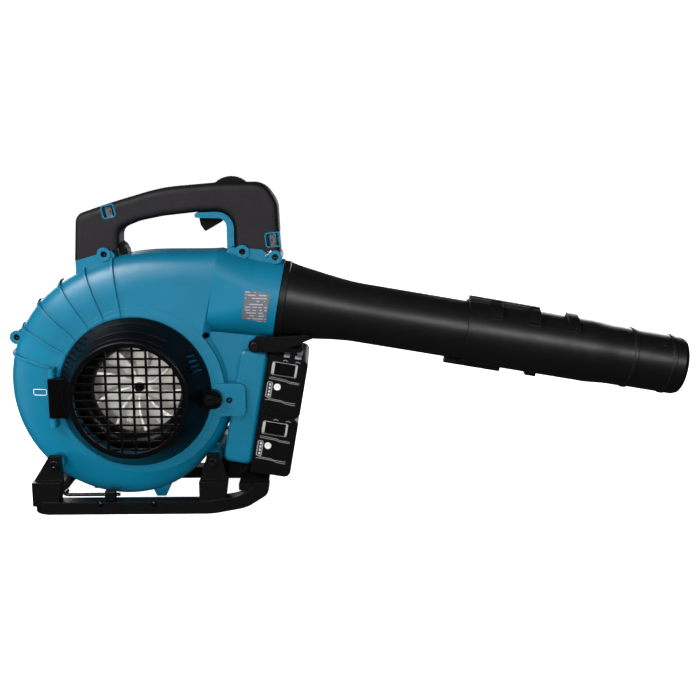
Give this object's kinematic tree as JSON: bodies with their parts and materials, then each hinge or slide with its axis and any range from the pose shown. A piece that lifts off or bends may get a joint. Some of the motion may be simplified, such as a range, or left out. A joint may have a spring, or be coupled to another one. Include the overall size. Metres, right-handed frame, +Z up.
{
  "type": "handheld leaf blower",
  "caption": "Cordless handheld leaf blower: scroll fan housing on a sled stand, arched top handle with trigger, slide-in battery packs and a drooping telescopic nozzle.",
  "frame": {"origin": "on the floor under the middle of the bounding box", "axes": "+X toward the nozzle tip, -Y the air inlet side, +Z up"},
  "size_m": [0.8732, 0.184, 0.418],
  "materials": {
    "teal_shell": "satin moulded glass-filled nylon",
    "handle_charcoal": "soft fine-textured overmould",
    "control_black": "fine texture",
    "cover_black": "fine texture",
    "nozzle_black": "satin, faint moulding texture",
    "stand_black": "fine texture",
    "battery_black": "fine texture with satin ledges",
    "release_grey": "ribbed",
    "gauge_grey": "printed panel",
    "check_white": "smooth",
    "cell_wrap": "heat-shrink wrap",
    "fan_white": "moulded, matt",
    "motor_steel": "laminated",
    "bright_steel": "ground",
    "dark_steel": "black oxide",
    "controller_metal": "cast tray, potted",
    "label_grey": "printed film",
    "seal_rubber": "smooth"
  },
  "bodies": {
    "blower": {"housing_near": "teal_shell", "housing_far": "teal_shell", "inlet_funnel": "cover_black", "handle_near": "handle_charcoal", "handle_far": "handle_charcoal", "strap_window_rear": "teal_shell", "strap_window_front": "teal_shell", "strap_bar_rear": "bright_steel", "strap_bar_front": "bright_steel", "trigger_surround": "teal_shell", "trigger_pin": "bright_steel", "trigger_spring": "dark_steel", "power_switch": "control_black", "motor_mount": "cover_black", "motor_bearings": "motor_steel", "motor_stator": "motor_steel", "motor_cover": "cover_black", "controller": "controller_metal", "terminals_upper": "battery_black", "terminals_lower": "battery_black", "cover_hinge_pin": "bright_steel", "lever_screw": "dark_steel", "lever_spring": "dark_steel", "stand": "stand_black", "stand_bolts": "dark_steel", "hex_wrench": "dark_steel", "wrench_clip": "stand_black", "housing_screws": "dark_steel", "rating_label": "label_grey"},
    "trigger": {"trigger": "control_black"},
    "speed_dial": {"speed_dial": "control_black"},
    "fan": {"impeller": "fan_white", "impeller_screw": "dark_steel", "motor_rotor": "motor_steel"},
    "inlet_cover": {"inlet_cover": "cover_black"},
    "cover_lock": {"cover_lock": "control_black"},
    "nozzle_pipe": {"nozzle_pipe": "nozzle_black", "nozzle_seal": "seal_rubber"},
    "nozzle_tube": {"nozzle_tube": "nozzle_black"},
    "nozzle_lever": {"nozzle_lever": "control_black"},
    "battery_upper": {"battery_upper_case": "battery_black", "battery_upper_base": "battery_black", "battery_upper_cells": "cell_wrap", "battery_upper_gauge": "gauge_grey"},
    "battery_upper_release": {"battery_upper_release": "release_grey"},
    "battery_upper_check": {"battery_upper_check": "check_white"},
    "battery_lower": {"battery_lower_case": "battery_black", "battery_lower_base": "battery_black", "battery_lower_cells": "cell_wrap", "battery_lower_gauge": "gauge_grey"},
    "battery_lower_release": {"battery_lower_release": "release_grey"},
    "battery_lower_check": {"battery_lower_check": "check_white"}
  },
  "joints": [
    {"name": "trigger_pull", "type": "hinge", "parent": "blower", "child": "trigger", "pos_m": [-0.166, 0, 0.3809], "axis": [0, 1, 0], "range_deg": [0, 12], "stiffness_Nm_per_rad": 0.6},
    {"name": "speed_dial_turn", "type": "hinge", "parent": "blower", "child": "speed_dial", "pos_m": [-0.152, 0, 0.389], "axis": [0, 1, 0], "range_deg": [-20, 20]},
    {"name": "fan_spin", "type": "hinge", "parent": "blower", "child": "fan", "pos_m": [-0.2744, 0, 0.15], "axis": [0, 1, 0], "continuous": true},
    {"name": "cover_swing", "type": "hinge", "parent": "blower", "child": "inlet_cover", "pos_m": [-0.376, -0.056, 0.146], "axis": [0, 0, -1], "range_deg": [0, 110]},
    {"name": "cover_lock_turn", "type": "hinge", "parent": "inlet_cover", "child": "cover_lock", "pos_m": [-0.1785, -0.066, 0.144], "axis": [0, 1, 0], "range_deg": [0, 90]},
    {"name": "nozzle_twist", "type": "hinge", "parent": "blower", "child": "nozzle_pipe", "pos_m": [-0.0938, 0, 0.261], "axis": [0.9857, 0, -0.1685], "range_deg": [0, 25]},
    {"name": "nozzle_slide", "type": "slide", "parent": "nozzle_pipe", "child": "nozzle_tube", "axis": [0.9857, 0, -0.1685], "range_m": [-0.05, 0.05]},
    {"name": "lever_press", "type": "hinge", "parent": "blower", "child": "nozzle_lever", "pos_m": [-0.1225, -0.052, 0.2105], "axis": [0, 1, 0], "range_deg": [0, 4], "stiffness_Nm_per_rad": 0.8},
    {"name": "battery_upper_slide", "type": "slide", "parent": "blower", "child": "battery_upper", "axis": [0, -1, 0], "range_m": [0, 0.12]},
    {"name": "battery_upper_release_slide", "type": "slide", "parent": "battery_upper", "child": "battery_upper_release", "axis": [0.9857, 0, -0.1685], "range_m": [0, 0.0026], "stiffness_N_per_m": 1500},
    {"name": "battery_upper_check_press", "type": "slide", "parent": "battery_upper", "child": "battery_upper_check", "axis": [0, 1, 0], "range_m": [0, 0.0006], "stiffness_N_per_m": 2000},
    {"name": "battery_lower_slide", "type": "slide", "parent": "blower", "child": "battery_lower", "axis": [0, -1, 0], "range_m": [0, 0.12]},
    {"name": "battery_lower_release_slide", "type": "slide", "parent": "battery_lower", "child": "battery_lower_release", "axis": [0.9857, 0, -0.1685], "range_m": [0, 0.0026], "stiffness_N_per_m": 1500},
    {"name": "battery_lower_check_press", "type": "slide", "parent": "battery_lower", "child": "battery_lower_check", "axis": [0, 1, 0], "range_m": [0, 0.0006], "stiffness_N_per_m": 2000}
  ]
}
